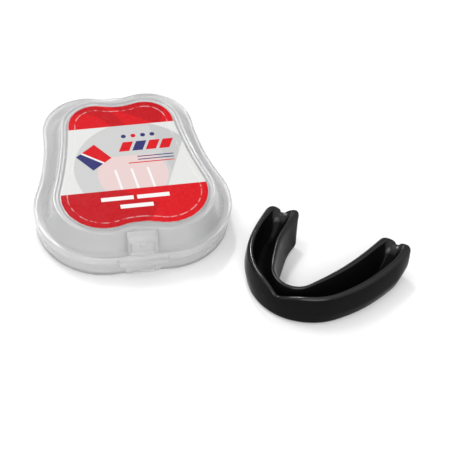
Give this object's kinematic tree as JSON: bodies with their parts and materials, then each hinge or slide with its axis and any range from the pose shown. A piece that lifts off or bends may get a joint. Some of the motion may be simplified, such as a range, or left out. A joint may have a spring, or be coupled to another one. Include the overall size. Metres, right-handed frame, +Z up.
{
  "type": "mouthguard with case",
  "caption": "Boxing mouthguard, a U-shaped bite tray with an upper channel, beside its hinged four-lobed plastic case with a snap latch and a printed lid panel.",
  "frame": {"origin": "centre of the case's flat underside, on the surface that the case and the mouthguard lie on", "axes": "+Z up; -Y towards the case's latch, +Y towards its hinge; +X to the case's right seen from the latch; the mouthguard lies to the front right"},
  "size_m": [0.1417, 0.1233, 0.0215],
  "materials": {
    "frosted_base": "frosted translucent polypropylene",
    "frosted_lid": "frosted translucent polypropylene",
    "label_print": "satin printed panel in red and pale grey",
    "black_eva": "glossy moulded ethylene vinyl acetate"
  },
  "bodies": {
    "case_base": {"base_tray": "frosted_base", "thumb_ledge": "frosted_base", "hinge_ear_left": "frosted_base", "hinge_ear_right": "frosted_base"},
    "latch": {"latch_tongue": "frosted_base"},
    "lid": {"lid_shell": "frosted_lid", "catch_panel": "frosted_lid", "lift_lip": "frosted_lid", "hinge_barrel": "frosted_lid", "label": "label_print"},
    "guard": {"mouthguard": "black_eva"}
  },
  "joints": [
    {"name": "lid_hinge", "type": "hinge", "parent": "case_base", "child": "lid", "pos_m": [0, 0.0452, 0.0074], "axis": [-1, 0, 0], "range_deg": [0, 125]},
    {"name": "latch_flex", "type": "hinge", "parent": "case_base", "child": "latch", "pos_m": [0, -0.04025, 0.00146], "axis": [-1, 0, 0], "range_deg": [0, 4], "stiffness_Nm_per_rad": 0.4},
    {"name": "mouthguard_lift", "type": "slide", "parent": "case_base", "child": "guard", "axis": [0, 0, 1], "range_m": [0, 0.06]}
  ]
}
